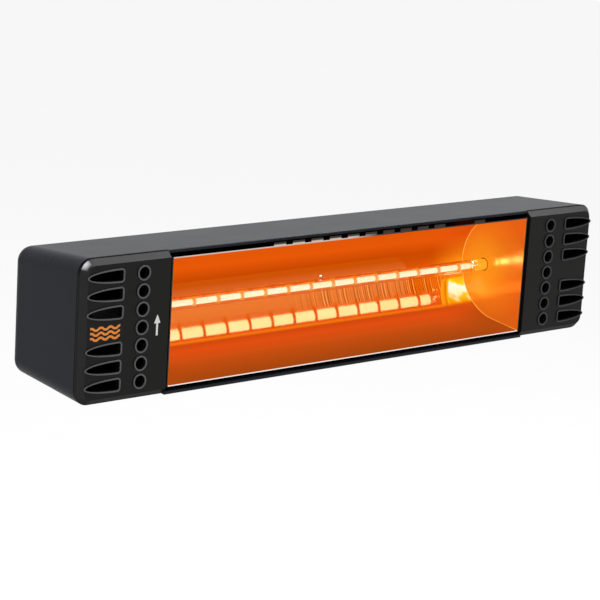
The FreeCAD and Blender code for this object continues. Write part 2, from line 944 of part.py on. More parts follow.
def make_terminal_block():
    back_face = y_at(back_depth)
    low = block_x - block_length / 2
    body = box(low, low + block_length, back_face - block_depth, back_face,
               block_bottom(), block_bottom() + block_height)
    uprights = [edge for edge in body.Edges if abs(edge.Length - block_depth) < fit]
    body = body.makeFillet(housing_wall, uprights)
    cuts = []
    for x in pole_x:
        cuts.append(rod(Vector(x, lead_y, block_bottom()), along_z, pole_radius + fit, block_height))
    for place in pole_screw_places():
        cuts.append(rod(place, along_y, screw_small + fit, lead_y - place.y))
    for place in block_screw_places():
        cuts.append(rod(place, -along_y, screw_small + fit, block_depth / 2 + housing_wall))
    return body.cut(group(cuts))


def make_terminal_barrels():
    barrels = []
    for x in pole_x:
        start = Vector(x, lead_y, block_bottom())
        barrels.append(ring(start, along_z, pole_radius, pole_bore, block_height))
    screws = [rod(place, along_y, screw_small + fit, lead_y - place.y) for place in pole_screw_places()]
    return group([barrel.cut(group(screws)) for barrel in barrels])


def make_terminal_screws():
    length = lead_y - pole_bore - pole_screw_places()[0].y
    return group([screw(place, along_y, screw_small, length) for place in pole_screw_places()])


def make_terminal_block_screws():
    length = housing_wall + block_depth / 2 - end_gap
    return group([screw(place, -along_y, screw_small, length) for place in block_screw_places()])


def tag_y():
    return lead_y + barrel_radius - tag_sheet / 2


def make_earth_tag():
    centre_point = Vector(pole_x[2], tag_y(), tag_height)
    plate = rod(centre_point, along_y, tag_radius, tag_sheet)
    low = tag_height - tag_radius - tag_barrel
    neck_left = pole_x[2] - barrel_radius
    neck_right = pole_x[2] + barrel_radius
    neck = box(neck_left, neck_right, tag_y(), tag_y() + tag_sheet, low, tag_height)
    start = Vector(pole_x[2], lead_y, low)
    barrel = rod(start, along_z, barrel_radius, tag_barrel)
    cuts = [rod(start, along_z, lead_radius + fit, tag_barrel)]
    cuts.append(rod(centre_point, along_y, screw_medium + fit, tag_sheet))
    return joined([plate, neck, barrel]).cut(group(cuts))


def make_earth_nuts():
    back_face = y_at(back_depth)
    tag_back = Vector(pole_x[2], tag_y() + tag_sheet, tag_height)
    spacer = nut(tag_back, along_y, screw_medium, back_face - tag_back.y)
    height = screw_medium * nut_height_share
    front = Vector(pole_x[2], tag_y() - height, tag_height)
    return group([spacer, nut(front, along_y, screw_medium, height)])


def make_earth_screw():
    length = back_y - tag_y() + screw_medium * nut_height_share + end_gap
    return screw(earth_place(), -along_y, screw_medium, length)


# Cable gland


def gland_point(x):
    return Vector(x, gland_y, gland_z())


def make_gland_body():
    inner = inner_end - gland_locknut - end_gap
    flange_end = body_half + gland_flange
    thread = rod(gland_point(inner), along_x, gland_thread, flange_end + gland_neck - inner)
    flange = hexagon(gland_point(body_half), along_x, gland_flats, gland_flange)
    bore = rod(gland_point(inner), along_x, gland_bore, flange_end + gland_neck - inner)
    return joined([thread, flange]).cut(bore)


def make_gland_locknut():
    start = gland_point(inner_end - gland_locknut)
    body = hexagon(start, along_x, gland_flats, gland_locknut)
    return body.cut(rod(start, along_x, gland_thread + fit, gland_locknut))


def make_gland_cap():
    start = body_half + gland_flange + end_gap
    end = start + gland_cap_length
    skirt = hexagon(gland_point(start), along_x, gland_flats, gland_neck)
    dome = rod(gland_point(start), along_x, gland_cap_radius, gland_cap_length)
    dome = dome.makeFillet(gland_cap_lip, [edge_near(dome, gland_point(end))])
    thread = rod(gland_point(start), along_x, gland_thread + fit, gland_cap_length - gland_cap_lip)
    mouth = rod(gland_point(start), along_x, gland_bore, gland_cap_length)
    return joined([skirt, dome]).cut(group([thread, mouth]))


def make_gland_seal():
    start = body_half + gland_flange + gland_neck
    return ring(gland_point(start), along_x, gland_thread - fit, gland_seal_bore, gland_seal_length)


# Wall bracket, yoke and tilt lock


def channel(half_width, sheet, base_y, open_y, half_height):
    inward = math.copysign(sheet, open_y - base_y)
    past = math.copysign(overrun, open_y - base_y)
    outer = slab(half_width, base_y, open_y, half_height)
    outer = outer.makeFillet(sheet + bend_radius, upright_edges(outer, base_y))
    inner = slab(half_width - sheet, base_y + inward, open_y + past, half_height)
    inner = inner.makeFillet(bend_radius, upright_edges(inner, base_y + inward))
    return outer.cut(inner)


def slab(half_width, y_one, y_two, half_height):
    return box(-half_width, half_width, min(y_one, y_two), max(y_one, y_two), -half_height, half_height)


def upright_edges(shape, y):
    return [e for e in shape.Edges if e.Length > e.BoundBox.ZLength - fit and
            e.BoundBox.ZLength > fit and abs(e.CenterOfMass.y - y) < fit]


def pivot_point(x):
    return Vector(x, pivot_y, 0)


def stud_point(x):
    return Vector(x, stud_y, stud_z)


def arc_slot():
    half = bolt_radius + slot_gap
    reach = 2 * bracket_half_width
    start = pivot_point(-bracket_half_width)
    band = ring(start, along_x, slot_radius + half, slot_radius - half, reach)
    swing = math.radians((tilt_up + tilt_down) / 2)
    far = slot_radius + half + overrun
    wedge = prism(
        [(pivot_y, 0), (pivot_y - far * math.tan(swing), far), (pivot_y + far * math.tan(swing), far)],
        -bracket_half_width, bracket_half_width,
    )
    cuts = [band.common(wedge)]
    for side in (-1, 1):
        y = pivot_y + side * slot_radius * math.sin(swing)
        z = slot_radius * math.cos(swing)
        cuts.append(rod(Vector(-bracket_half_width, y, z), along_x, half, reach))
    return cuts


def make_wall_bracket():
    front = pivot_y - ear_round
    ear_top = slot_radius + bolt_radius + slot_gap + ear_margin
    strip = channel(bracket_half_width, plate_thickness, 0, front, max(bracket_half_height, ear_top))
    reach = 2 * bracket_half_width
    start = pivot_point(-bracket_half_width)
    base_front = -plate_thickness - bend_radius
    half_width = bracket_half_width
    side = [
        box(-half_width, half_width, base_front, 0, -bracket_half_height, bracket_half_height),
        box(-half_width, half_width, pivot_y, 0, -ear_round, ear_top),
        rod(start, along_x, ear_round, reach),
        rod(start, along_x, ear_top, reach).common(
            box(-half_width, half_width, front, 0, 0, ear_top)),
    ]
    bracket = strip.common(joined(side))
    cuts = arc_slot()
    cuts.append(rod(start, along_x, bolt_radius + fit, reach))
    for x in (-wall_hole_spacing_x / 2, wall_hole_spacing_x / 2):
        for z in (-wall_hole_spacing_z / 2, wall_hole_spacing_z / 2):
            cuts.append(rod(Vector(x, overrun, z), -along_y, wall_hole_radius, plate_thickness + 2 * overrun))
    return bracket.cut(group(cuts))


def make_yoke():
    ear_back = pivot_y + yoke_ear_back
    ear_top = stud_z + yoke_ear_top
    half_height = max(yoke_half_height, ear_top)
    strip = channel(yoke_half_width, yoke_sheet, back_y, ear_back, half_height)
    base_back = back_y + yoke_sheet + bend_radius
    base = box(-yoke_half_width, yoke_half_width, back_y, base_back, -yoke_half_height, yoke_half_height)
    ear = box(-yoke_half_width, yoke_half_width, back_y, ear_back, -yoke_ear_low, ear_top)
    corners = [e for e in ear.Edges if e.BoundBox.XLength > yoke_half_width and
               abs(e.CenterOfMass.y - ear_back) < fit]
    ear = ear.makeFillet(yoke_ear_round, corners)
    yoke = strip.common(joined([base, ear]))
    reach = 2 * yoke_half_width
    cuts = [
        rod(pivot_point(-yoke_half_width), along_x, bolt_radius + fit, reach),
        rod(stud_point(-yoke_half_width), along_x, bolt_radius + fit, reach),
    ]
    for place in yoke_screw_places():
        cuts.append(rod(place, along_y, screw_large + fit, yoke_sheet))
    return yoke.cut(group(cuts))


def make_yoke_screws():
    length = yoke_sheet + housing_wall + screw_large * nut_height_share + end_gap
    heads = [p + along_y * yoke_sheet for p in yoke_screw_places()]
    return group([screw(head, -along_y, screw_large, length) for head in heads])


def make_yoke_nuts():
    height = screw_large * nut_height_share
    inside = along_y * (housing_wall + height)
    return group([nut(place - inside, along_y, screw_large, height) for place in yoke_screw_places()])


def make_pivot_bolts():
    seat = bracket_half_width + face_gap
    inner = yoke_inner - nut_height - bolt_end
    head = hexagon(pivot_point(seat), along_x, bolt_flats, bolt_head)
    return both_ends([joined([head, rod(pivot_point(inner), along_x, bolt_radius, seat - inner)])])


def make_pivot_nuts():
    start = pivot_point(yoke_inner - nut_height)
    body = hexagon(start, along_x, bolt_flats, nut_height)
    return both_ends([body.cut(rod(start, along_x, bolt_radius + fit, nut_height))])


def make_friction_washers():
    start = pivot_point(yoke_half_width)
    return both_ends([ring(start, along_x, washer_radius, bolt_radius + fit, washer_thickness - face_gap)])


def knob_start():
    return bracket_half_width + face_gap + knob_washer_thickness


def make_guide_bolts():
    head = hexagon(stud_point(yoke_inner - bolt_head), along_x, bolt_flats, bolt_head)
    shank = rod(stud_point(yoke_inner), along_x, bolt_radius, knob_start() + knob_length - yoke_inner)
    return both_ends([joined([head, shank])])


def make_knob_washers():
    start = stud_point(bracket_half_width + face_gap)
    return both_ends([ring(start, along_x, knob_washer_radius, bolt_radius + fit, knob_washer_thickness)])


def make_right_knob():
    start = stud_point(knob_start() + face_gap)
    body = rod(start, along_x, knob_radius, knob_length)
    rims = [edge_near(body, start), edge_near(body, start + along_x * knob_length)]
    body = body.makeFillet(knob_round, rims)
    cuts = [rod(start, along_x, bolt_radius + fit, knob_length)]
    for index in range(knob_lobes):
        angle = 2 * math.pi * index / knob_lobes
        across = along_y * math.cos(angle) + along_z * math.sin(angle)
        reach = knob_radius + knob_groove_out
        cuts.append(rod(start + across * reach, along_x, knob_groove, knob_length))
    return body.cut(group(cuts))


def save(name, shape):
    shape.exportStep("parts/" + name + ".step")
    state = "valid" if shape.isValid() else "INVALID"
    print(name, len(shape.Solids), "solids", round(shape.Volume), "mm3", state)


def save_pair(name, shape):
    save("right_" + name, shape)
    save("left_" + name, mirrored(shape))


def main():
    os.makedirs("parts", exist_ok=True)
    save("housing", make_housing())
    save_pair("cover", make_right_cover())
    save("cover_screws", make_cover_screws())
    save("reflector", make_reflector())
    save_pair("end_plate", make_right_end_plate())
    save("end_plate_screws", make_end_plate_screws())
    save("lamp_tube", make_lamp_tube())
    save("lamp_filament", make_lamp_filament())
    save("filament_supports", make_filament_supports())
    save("lamp_end_caps", make_lamp_end_caps())
    save("lamp_contacts", make_lamp_contacts())
    save_pair("lampholder", make_right_lampholder())
    save_pair("contact_plunger", make_right_contact_plunger())
    save_pair("contact_spring", make_right_contact_spring())
    save("holder_tabs", make_holder_tabs())
    save_pair("holder_bracket", make_right_holder_bracket())
    save("holder_screws", make_holder_screws())
    save("holder_bracket_screws", make_holder_bracket_screws())
    save("left_lead", make_left_lead())
    save("right_lead", make_right_lead())
    save("earth_lead", make_earth_lead())
    save("lead_clips", make_lead_clips())
    save("lead_grommets", make_lead_grommets())
    save("terminal_block", make_terminal_block())
    save("terminal_barrels", make_terminal_barrels())
    save("terminal_screws", make_terminal_screws())
    save("terminal_block_screws", make_terminal_block_screws())
    save("earth_tag", make_earth_tag())
    save("earth_nuts", make_earth_nuts())
    save("earth_screw", make_earth_screw())
    save("gland_body", make_gland_body())
    save("gland_locknut", make_gland_locknut())
    save("gland_cap", make_gland_cap())
    save("gland_seal", make_gland_seal())
    save("wall_bracket", make_wall_bracket())
    save("yoke", make_yoke())
    save("yoke_screws", make_yoke_screws())
    save("yoke_nuts", make_yoke_nuts())
    save("pivot_bolts", make_pivot_bolts())
    save("pivot_nuts", make_pivot_nuts())
    save("friction_washers", make_friction_washers())
    save("guide_bolts", make_guide_bolts())
    save("knob_washers", make_knob_washers())
    save_pair("knob", make_right_knob())


main()
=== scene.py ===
# %% [markdown]
# # Infrared heater
# The heater hangs on a tilting wall bracket. The CAD model gives every solid in metres, and this
# lesson dresses it: first the frame is loaded, then each finish is mixed, then the few pieces that
# are too fine for the solids are modelled, and at the end come the light and the camera.

# %% Load the frame
import bpy
import math
from mathutils import Matrix, Vector


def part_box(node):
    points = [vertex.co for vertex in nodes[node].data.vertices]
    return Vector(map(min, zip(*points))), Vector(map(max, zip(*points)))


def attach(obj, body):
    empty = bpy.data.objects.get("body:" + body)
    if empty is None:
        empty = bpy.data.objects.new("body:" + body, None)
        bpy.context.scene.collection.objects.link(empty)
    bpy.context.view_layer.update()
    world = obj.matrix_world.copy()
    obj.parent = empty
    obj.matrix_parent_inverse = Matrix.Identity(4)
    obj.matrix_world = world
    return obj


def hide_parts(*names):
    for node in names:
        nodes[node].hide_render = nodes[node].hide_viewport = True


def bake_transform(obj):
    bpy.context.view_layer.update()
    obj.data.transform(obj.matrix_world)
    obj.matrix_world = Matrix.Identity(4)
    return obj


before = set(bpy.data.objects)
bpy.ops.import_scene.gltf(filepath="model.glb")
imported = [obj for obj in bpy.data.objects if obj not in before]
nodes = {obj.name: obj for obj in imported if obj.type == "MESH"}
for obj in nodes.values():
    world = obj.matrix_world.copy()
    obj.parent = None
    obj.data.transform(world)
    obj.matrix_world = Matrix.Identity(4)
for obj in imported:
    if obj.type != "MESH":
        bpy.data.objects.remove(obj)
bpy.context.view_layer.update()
MM = 0.001

# %% [markdown]
# A material is a small network of nodes. Three helpers are enough for all of them: one turns the hex
# colour of a paint chart into the linear numbers that a shader uses, one adds a node, and one starts
# an empty material. The second takes what goes into the node by name: a socket of an earlier node
# becomes a link, a number is typed into the field, and a list of stops fills a colour ramp. It gives
# back the new node's output.

# %% Helpers for materials
def linear(code, alpha=1.0):
    parts = [int(code[i:i + 2], 16) / 255 for i in (1, 3, 5)]
    return [p / 12.92 if p <= 0.04045 else ((p + 0.055) / 1.055) ** 2.4 for p in parts] + [alpha]


def add(tree, kind, settings=None, out=0):
    made = tree.nodes.new("ShaderNode" + kind)
    for key, value in (settings or {}).items():
        if isinstance(value, bpy.types.NodeSocket):
            tree.links.new(value, made.inputs[key])
        elif key == "stops":
            elements = made.color_ramp.elements
            while len(elements) < len(value):
                elements.new(1.0)
            for element, (place, colour) in zip(elements, value):
                element.position = place
                element.color = linear(colour)
        elif isinstance(key, int) or key in made.inputs:
            made.inputs[key].default_value = value
        else:
            setattr(made, key, value)
    return made.outputs[out] if made.outputs else None


def start(name):
    made = bpy.data.materials.new(name)
    made.use_nodes = True
    made.node_tree.nodes.clear()
    return made, made.node_tree


print("helpers", linear.__name__, add.__name__, start.__name__)

# %% [markdown]
# Most finishes here are one base with a fine grain: paint, moulded plastic, plated steel, ceramic.
# Each is a noise at the grain's real size that shifts the colour and the gloss a little and feeds a
# bump, so that no surface is one flat colour. A broad noise of 40 mm lies under the grain.
#
# Powder coat is sprayed on and baked, which leaves a satin skin with a fine orange peel. Nylon,
# polyamide and rubber are moulded and look dull and nearly black. Zinc and nickel are plated, smooth
# and bright, and brass is turned. Steatite is a fired ceramic, matt like stone. The leads wear a
# red-brown silicone that stands the heat.

# %% Grained finishes
broad_mm = 40
gloss_spread = 0.08


def grained(name, dark, light, grain_mm, height_mm, roughness, metallic=0.0, specular=0.5):
    made, tree = start(name)
    place = add(tree, "TexCoord", out="Object")
    fine = add(tree, "TexNoise", {"Scale": 1 / (grain_mm * MM), "Detail": 3.0, "Vector": place})
    broad = add(tree, "TexNoise", {"Scale": 1 / (broad_mm * MM), "Detail": 2.0, "Vector": place})
    both = add(tree, "Math", {"operation": "ADD", 0: fine, 1: broad})
    half = add(tree, "Math", {"operation": "MULTIPLY", 0: both, 1: 0.5})
    colour = add(tree, "ValToRGB", {"Fac": half, "stops": [(0.3, dark), (0.7, light)]})
    gloss = add(tree, "MapRange", {"Value": half, "To Min": roughness - gloss_spread,
                                   "To Max": roughness + gloss_spread})
    bump = add(tree, "Bump", {"Strength": 0.6, "Distance": height_mm * MM, "Height": fine})
    shader = add(tree, "BsdfPrincipled", {"Metallic": metallic, "Specular IOR Level": specular,
                                          "Base Color": colour, "Roughness": gloss, "Normal": bump})
    add(tree, "OutputMaterial", {"Surface": shader})
    return made


powder_coat = grained("powder_coated_steel", "#14161b", "#1c1f25", 0.9, 0.03, 0.42, 0.0, 0.12)
knob_nylon = grained("moulded_black_nylon", "#17171a", "#202024", 0.5, 0.02, 0.45)
zinc_steel = grained("zinc_plated_steel", "#9b9ea3", "#c3c6ca", 0.6, 0.01, 0.32, 1.0)
nickel = grained("nickel_plate", "#a9a294", "#cfc8b8", 0.5, 0.006, 0.25, 1.0)
spring_wire = grained("bright_spring_wire", "#8f9092", "#b9babc", 0.3, 0.006, 0.3, 1.0)
brass = grained("machined_brass", "#a8863f", "#d2ae62", 0.4, 0.008, 0.3, 1.0)
black_steel = grained("blackened_steel", "#161514", "#211f1d", 0.6, 0.01, 0.5)
stoneware = grained("dark_steatite", "#2a2724", "#3a3632", 0.4, 0.02, 0.6)
polyamide = grained("black_polyamide", "#151515", "#1f1f1f", 0.8, 0.02, 0.5)
silicone = grained("silicone_sleeve", "#8e3d22", "#a84c2c", 0.5, 0.02, 0.6)
seal_rubber = grained("black_rubber", "#141414", "#1e1e1e", 0.6, 0.03, 0.7)
print("grained finishes", len(bpy.data.materials))

# %% [markdown]
# The earth lead is the one wire with two colours: its green sleeve carries yellow stripes along its
# length. The lead runs straight up, so a wave across X draws them.

# %% Striped sleeve of the earth lead
stripe_mm = 8
striped_sleeve, tree = start("striped_earth_sleeve")
place = add(tree, "TexCoord", out="Object")
wave = add(tree, "TexWave", {"Scale": 1 / (stripe_mm * MM), "Distortion": 0.3, "Vector": place}, "Fac")
colour = add(tree, "ValToRGB", {"Fac": wave, "stops": [(0.45, "#2f7a2c"), (0.55, "#d8c22a")]})
shader = add(tree, "BsdfPrincipled", {"Roughness": 0.5, "Base Color": colour})
add(tree, "OutputMaterial", {"Surface": shader})
print(striped_sleeve.name)

# %% [markdown]
# The end covers are moulded in black ABS with a fine spark-eroded grain. Every vent has a raised
# rim, and the rims carry a painted highlight: they stand in front of the cover's face, so the depth
# along Y tells the shader where they are. The painted highlight fades towards the right cover. The
# bevels round the face are told by the way they look: the dot product of the normal with that
# direction is near one. Above and at the side they carry a weaker painted highlight.

# %% Cover plastic with painted highlights on rims and bevels
front_y = -127.5 * MM
rim_foot = front_y - 0.15 * MM
rim_crest = front_y - 0.5 * MM
right_end = 200 * MM
spark_mm = 0.7
half = math.sqrt(0.5)
bevel_ways = {"top": (0.0, -half, half), "side": (-half, -half, 0.0), "corner": (-0.5, -half, 0.5),
              "under": (0.0, -half, -half)}
near_one = {"From Min": 0.85, "From Max": 0.98}
cover_abs, tree = start("grained_black_abs")
place = add(tree, "TexCoord", out="Object")
normal = add(tree, "TexCoord", out="Normal")
lean = {}
for name, way in bevel_ways.items():
    lean[name] = add(tree, "VectorMath", {"operation": "DOT_PRODUCT", 0: normal, 1: way}, "Value")
grain = add(tree, "TexNoise", {"Scale": 1 / (spark_mm * MM), "Detail": 3.0, "Vector": place})
face = add(tree, "ValToRGB", {"Fac": grain, "stops": [(0.3, "#121110"), (0.7, "#191817")]})
# The pale colour is a painted highlight for the vent rims and bevels.
painted_highlight = add(tree, "ValToRGB", {"Fac": grain, "stops": [(0.3, "#525254"), (0.7, "#616163")]})
depth = add(tree, "SeparateXYZ", {"Vector": place}, "Y")
across = add(tree, "SeparateXYZ", {"Vector": place}, "X")
proud = add(tree, "MapRange", {"Value": depth, "From Min": rim_foot, "From Max": rim_crest})
# The painted highlight on the rims fades towards the right cover.
fade = add(tree, "MapRange", {"Value": across, "From Max": right_end, "To Min": 1.0, "To Max": 0.45})
highlight_mask = add(tree, "Math", {"operation": "MULTIPLY", 0: proud, 1: fade})
# The top and side bevels get a weaker painted highlight.
for name, most in (("top", 0.3), ("side", 0.12)):
    bevel = add(tree, "MapRange", {"Value": lean[name], **near_one, "To Max": most})
    highlight_mask = add(tree, "Math", {"operation": "MAXIMUM", 0: highlight_mask, 1: bevel})
colour = add(tree, "Mix", {"data_type": "RGBA", "Factor": highlight_mask, 6: face, 7: painted_highlight}, 2)
print("rims and bevels rubbed")

# %% [markdown]
# The upper left corner of the bevel carries a painted glint near the housing. At the seam where
# cover and housing meet a line of painted shade runs along the bevel, strongest on top, and the bevel
# below lies in shade.
# Shade also takes the gloss away, so one mask lowers both the specular and the coat.

# %% Cover plastic: painted glint, painted seam shade and gloss
glint_from, glint_to = front_y + 0.8 * MM, front_y + 2.8 * MM
seam_from, seam_to = front_y + 3.7 * MM, front_y + 4.0 * MM
top_from, top_to = 36 * MM, 42 * MM
# A painted glint on the upper left corner of the bevel, near the housing.
pale = add(tree, "MapRange", {"Value": lean["corner"], "From Min": 0.95, "From Max": 1.0})
inward = add(tree, "MapRange", {"Value": depth, "From Min": glint_from, "From Max": glint_to})
pale = add(tree, "Math", {"operation": "MULTIPLY", 0: pale, 1: inward})
colour = add(tree, "Mix", {"data_type": "RGBA", "Factor": pale, 6: colour, 7: linear("#d0d0d4")}, 2)
# A dark line of painted shade where cover and housing meet, strongest on top.
painted_seam_line = add(tree, "MapRange", {"Value": depth, "From Min": seam_from, "From Max": seam_to})
level = add(tree, "SeparateXYZ", {"Vector": place}, "Z")
high = add(tree, "MapRange", {"Value": level, "From Min": top_from, "From Max": top_to, "To Min": 0.3})
painted_seam_line = add(tree, "Math", {"operation": "MULTIPLY", 0: painted_seam_line, 1: high})
colour = add(tree, "Mix", {"data_type": "RGBA", "Factor": painted_seam_line, 6: colour, 7: linear("#060606")}, 2)
shade = add(tree, "MapRange", {"Value": lean["under"], **near_one})
shade = add(tree, "Math", {"operation": "MAXIMUM", 0: shade, 1: painted_seam_line})
shine = add(tree, "MapRange", {"Value": shade, "To Min": 0.08, "To Max": 0.02})
coat = add(tree, "MapRange", {"Value": shade, "To Min": 0.1, "To Max": 0.02})
gloss = add(tree, "MapRange", {"Value": grain, "To Min": 0.38, "To Max": 0.52})
bump = add(tree, "Bump", {"Strength": 0.5, "Distance": 0.03 * MM, "Height": grain})
shader = add(tree, "BsdfPrincipled", {"Specular IOR Level": shine, "Coat Weight": coat, "Coat Roughness": 0.2,
                                      "Base Color": colour, "Roughness": gloss, "Normal": bump})
add(tree, "OutputMaterial", {"Surface": shader})
print(cover_abs.name)

# %% [markdown]
# The reflector is rolled aluminium sheet, bright enough to mirror the lamp as a second row of
# glowing bars. In use everything in the trough takes the lamp's orange light, and that light is
# painted in: the metal gets an orange tint and a painted glow. Rolling leaves faint lines along the
# sheet, which a noise stretched along X gives. The back of the sheet is painted dull and dark as
# shade, and only the side that looks at the lamp gets the painted glow, so a mask called lit blends
# the two.

# %% Rolled sheet
lamp_low, lamp_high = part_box("lamp_tube")
lamp_y = (lamp_low[1] + lamp_high[1]) / 2
plate_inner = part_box("right_end_plate")[0][0]
roll_stretch = (0.02, 1.0, 1.0)
line_mm = 1.6
# The dull dark colour of the back is painted shade.
shaded_back_stops = [(0.3, "#3a3632"), (0.7, "#48433e")]


def sheet_start(name):
    made, tree = start(name)
    place = add(tree, "TexCoord", out="Object")
    along = add(tree, "Mapping", {"Scale": roll_stretch, "Vector": place})
    lines = add(tree, "TexNoise", {"Scale": 1 / (line_mm * MM), "Detail": 3.0, "Vector": along})
    reach = add(tree, "VectorMath", {"operation": "SUBTRACT", 0: place, 1: (0.0, lamp_y, 0.0)})
    reach = add(tree, "VectorMath", {"operation": "MULTIPLY", 0: reach, 1: (0.0, 1.0, 1.0)})
    across = add(tree, "SeparateXYZ", {"Vector": place}, "X")
    far = add(tree, "Math", {"operation": "ABSOLUTE", 0: across})
    return made, tree, place, lines, reach, far


def sheet_end(tree, lines, lit, painted_tint, unlit_colour, glow, roughness):
    # The orange base and specular tints stand for the lamp's light painted into the metal, and the emission
    # is a painted glow where the sheet faces the lamp.
    colour = add(tree, "Mix", {"data_type": "RGBA", "Factor": lit, 6: unlit_colour, 7: painted_tint}, 2)
    gloss = add(tree, "MapRange", {"Value": lines, "To Min": roughness * 0.7, "To Max": roughness * 1.3})
    bump = add(tree, "Bump", {"Strength": 0.15, "Distance": 0.01 * MM, "Height": lines})
    shader = add(tree, "BsdfPrincipled", {"Metallic": 1.0, "Specular Tint": linear("#a05424"),
                                          "Base Color": colour, "Emission Color": glow,
                                          "Emission Strength": lit, "Roughness": gloss, "Normal": bump})
    add(tree, "OutputMaterial", {"Surface": shader})


print("lamp axis y mm", round(lamp_y / MM, 2), "end plate x mm", round(plate_inner / MM, 2))

# %% [markdown]
# In the trough a face looks at the lamp if its normal points against the line from the lamp's axis,
# so the dot product of the two is negative. Only the length between the end plates is lit, not the
# tabs behind them. The cut front edge looks forward: it is pale below, and above it is painted darker
# from left to right as shade. The tips of the tabs on top lie in the shade, painted dark too. The
# painted glow changes from bottom to top, with a painted bright line under the second row of bars.

# %% Trough: lit side and painted glow from bottom to top
facing_limit = -4.0 * MM
forward_limit = -0.7
trough_half = 42 * MM
tab_foot, tab_tip = 43.2 * MM, 43.8 * MM
lip_left, lip_right = -10 * MM, 15 * MM
reflector_sheet, tree, place, lines, reach, far = sheet_start("rolled_aluminium_trough")
normal = add(tree, "TexCoord", out="Normal")
facing = add(tree, "VectorMath", {"operation": "DOT_PRODUCT", 0: reach, 1: normal}, "Value")
facing = add(tree, "Math", {"operation": "LESS_THAN", 0: facing, 1: facing_limit})
between = add(tree, "Math", {"operation": "LESS_THAN", 0: far, 1: plate_inner})
lit = add(tree, "Math", {"operation": "MULTIPLY", 0: facing, 1: between})
forward = add(tree, "SeparateXYZ", {"Vector": normal}, "Y")
front = add(tree, "Math", {"operation": "LESS_THAN", 0: forward, 1: forward_limit})
level = add(tree, "SeparateXYZ", {"Vector": place}, "Z")
height = add(tree, "MapRange", {"Value": level, "From Min": -trough_half, "From Max": trough_half})
tabs = add(tree, "MapRange", {"Value": level, "From Min": tab_foot, "From Max": tab_tip})
across = add(tree, "SeparateXYZ", {"Vector": place}, "X")
back = add(tree, "ValToRGB", {"Fac": lines, "stops": shaded_back_stops})
# The front edge is painted darker from left to right as shade.
lip_painted_shade = add(tree, "MapRange", {"Value": across, "From Min": lip_left, "From Max": lip_right})
lip_painted_shade = add(tree, "ValToRGB", {"Fac": lip_painted_shade, "stops": [(0.0, "#d0c0b4"), (1.0, "#48423c")]})
rise = add(tree, "MapRange", {"Value": height, "From Min": 0.3, "From Max": 0.9})
pale = add(tree, "Mix", {"data_type": "RGBA", "Factor": rise, 6: linear("#f4e8e2"), 7: lip_painted_shade}, 2)
pale = add(tree, "Mix", {"data_type": "RGBA", "Factor": tabs, 6: pale, 7: back}, 2)
unlit_colour = add(tree, "Mix", {"data_type": "RGBA", "Factor": front, 6: back, 7: pale}, 2)
# Painted glow of the lamp's light from bottom to top, with a painted bright line under the second row of
# bars.
painted_glow = add(tree, "ValToRGB", {"Fac": height, "stops": [
    (0.0, "#9c460f"), (0.05, "#cc5012"), (0.09, "#d84e12"), (0.125, "#ba460e"), (0.14, "#e87610"),
    (0.155, "#bc480c"), (0.22, "#c04a0a"), (0.32, "#ca6004"),
    (0.5, "#c04c02"), (0.6, "#c24802"), (0.72, "#e05808"), (1.0, "#d8560a")]})
print(reflector_sheet.name, "with a glow along its height")

# %% [markdown]
# Fine streaks of painted light and shade run across the sheet right of the middle, in the painted
# glow: a noise along X alone draws them, dark in its lows and bright in its highs, kept to a band of
# the height and fading in from left to right.

# %% Trough: painted streaks
streak_mm = 1.5
streak_from, streak_to = -15 * MM, 20 * MM
painted_streak = add(tree, "TexNoise", {"noise_dimensions": "1D", "Scale": 1 / (streak_mm * MM), "W": across})
painted_streak = add(tree, "ValToRGB", {"Fac": painted_streak, "stops": [(0.4, "#6e2400"), (0.46, "#ca6004"),
                                                         (0.6, "#ca6004"), (0.72, "#ffa848")]})
band = add(tree, "ValToRGB", {"Fac": height, "stops": [(0.24, "#000000"), (0.27, "#ffffff"),
                                                       (0.39, "#ffffff"), (0.42, "#000000")]})
column = add(tree, "MapRange", {"Value": across, "From Min": streak_from, "From Max": streak_to,
                                "To Max": 0.8})
patch = add(tree, "Math", {"operation": "MULTIPLY", 0: band, 1: column})
painted_glow = add(tree, "Mix", {"data_type": "RGBA", "Factor": patch, 6: painted_glow, 7: painted_streak}, 2)
print("painted_streaks added")

# %% [markdown]
# Near the ends the glow turns golden at the lamp's height, because the ceramic caps throw their light
# on the sheet there.

# %% Trough: golden ends
gold_from, gold_to = 128 * MM, 158 * MM
end = add(tree, "MapRange", {"Value": far, "From Min": gold_from, "From Max": gold_to})
gold = add(tree, "ValToRGB", {"Fac": height, "stops": [
    (0.0, "#a84a0e"), (0.12, "#c44c0e"), (0.5, "#dc7c10"),
    (0.62, "#d6640c"), (0.75, "#d24e0a"), (1.0, "#d24e0a")]})
painted_glow = add(tree, "Mix", {"data_type": "RGBA", "Factor": end, 6: painted_glow, 7: gold}, 2)
print("golden ends added")

# %% [markdown]
# Below the lamp the sheet shows a painted reflection of the lamp's bright cap, a block of light in
# the painted glow. The block leans, so its place is taken across the sheet with a skew. From the
# middle outwards come two golden bars and then the white core between yellow edges. A noise of 9 mm
# bends the edges, as the sheet does.

